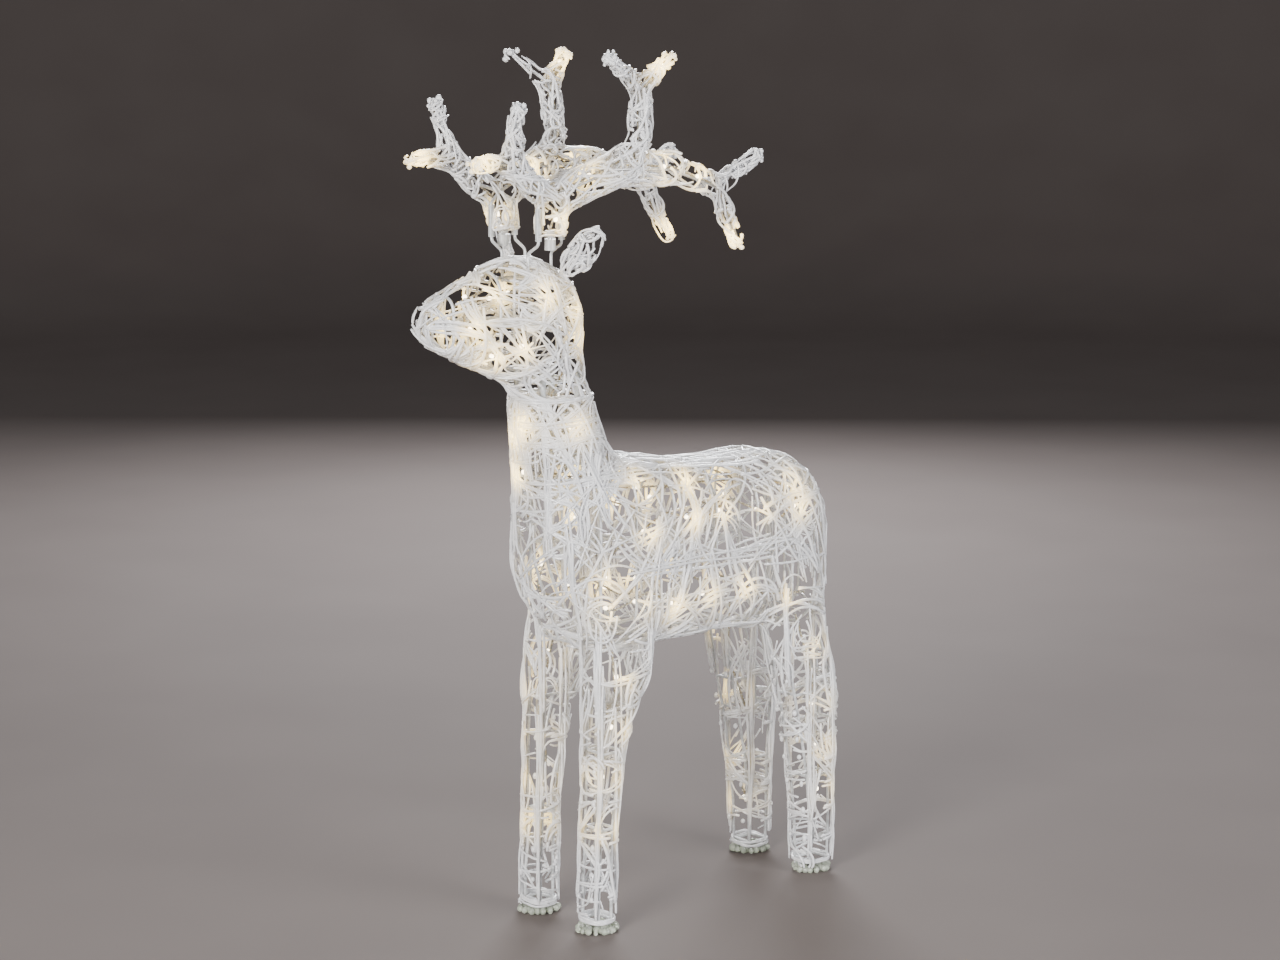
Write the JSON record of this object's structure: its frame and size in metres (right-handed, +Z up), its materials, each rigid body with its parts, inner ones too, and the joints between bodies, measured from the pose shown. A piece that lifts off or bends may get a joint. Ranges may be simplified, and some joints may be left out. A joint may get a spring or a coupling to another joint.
{
  "type": "light up yard reindeer",
  "caption": "Standing lit reindeer of wire frames wound with clear acrylic thread; head and antlers lift off, four legs on beaded feet.",
  "frame": {"origin": "centre of the footprint box on the lawn, under the middle of the whole deer", "axes": "+Z up; the deer faces -Y; +X is its left side"},
  "size_m": [0.1744, 0.5295, 0.9002],
  "materials": {
    "acrylic_thread": "clear extruded thread, glossy, milky where it is dense",
    "acrylic_beads": "clear fused drops with a faint green tint",
    "frame_wire": "pale grey powder coat",
    "lamp_cable": "thin twisted pair in clear insulation",
    "warm_lamp": "clear dipped lamp, warm white",
    "clear_sleeve": "clear tube",
    "connector_plastic": "pale moulded plastic"
  },
  "bodies": {
    "torso": {"back_left_foot_beads": "acrylic_beads", "back_left_leg_frame": "frame_wire", "back_left_leg_led_cable": "lamp_cable", "back_left_leg_led_lamps": "warm_lamp", "back_left_leg_winding": "acrylic_thread", "back_right_foot_beads": "acrylic_beads", "back_right_leg_frame": "frame_wire", "back_right_leg_led_cable": "lamp_cable", "back_right_leg_led_lamps": "warm_lamp", "back_right_leg_winding": "acrylic_thread", "front_left_foot_beads": "acrylic_beads", "front_left_leg_frame": "frame_wire", "front_left_leg_led_cable": "lamp_cable", "front_left_leg_led_lamps": "warm_lamp", "front_left_leg_winding": "acrylic_thread", "front_right_foot_beads": "acrylic_beads", "front_right_leg_frame": "frame_wire", "front_right_leg_led_cable": "lamp_cable", "front_right_leg_led_lamps": "warm_lamp", "front_right_leg_winding": "acrylic_thread", "neck_led_cable": "lamp_cable", "neck_socket": "connector_plastic", "neck_socket_bracket": "frame_wire", "supply_gland": "connector_plastic", "torso_frame": "frame_wire", "torso_led_cable_left": "lamp_cable", "torso_led_cable_right": "lamp_cable", "torso_led_lamps": "warm_lamp", "torso_winding": "acrylic_thread"},
    "head": {"antler_left_socket": "connector_plastic", "antler_right_socket": "connector_plastic", "ear_left_frame": "frame_wire", "ear_left_winding": "acrylic_thread", "ear_right_frame": "frame_wire", "ear_right_winding": "acrylic_thread", "head_frame": "frame_wire", "head_led_cable": "lamp_cable", "head_led_lamps": "warm_lamp", "head_winding": "acrylic_thread", "neck_plug": "connector_plastic", "neck_tubes": "clear_sleeve"},
    "antler_left": {"antler_left_frame": "frame_wire", "antler_left_led_cable": "lamp_cable", "antler_left_led_lamps": "warm_lamp", "antler_left_plug": "connector_plastic", "antler_left_sleeves": "clear_sleeve", "antler_left_winding": "acrylic_thread"},
    "antler_right": {"antler_right_frame": "frame_wire", "antler_right_led_cable": "lamp_cable", "antler_right_led_lamps": "warm_lamp", "antler_right_plug": "connector_plastic", "antler_right_sleeves": "clear_sleeve", "antler_right_winding": "acrylic_thread"}
  },
  "joints": [
    {"name": "head_lift", "type": "slide", "parent": "torso", "child": "head", "axis": [0, 0, 1], "range_m": [0, 0.06]},
    {"name": "antler_left_lift", "type": "slide", "parent": "head", "child": "antler_left", "axis": [0, 0, 1], "range_m": [0, 0.05]},
    {"name": "antler_right_lift", "type": "slide", "parent": "head", "child": "antler_right", "axis": [0, 0, 1], "range_m": [0, 0.05]}
  ]
}
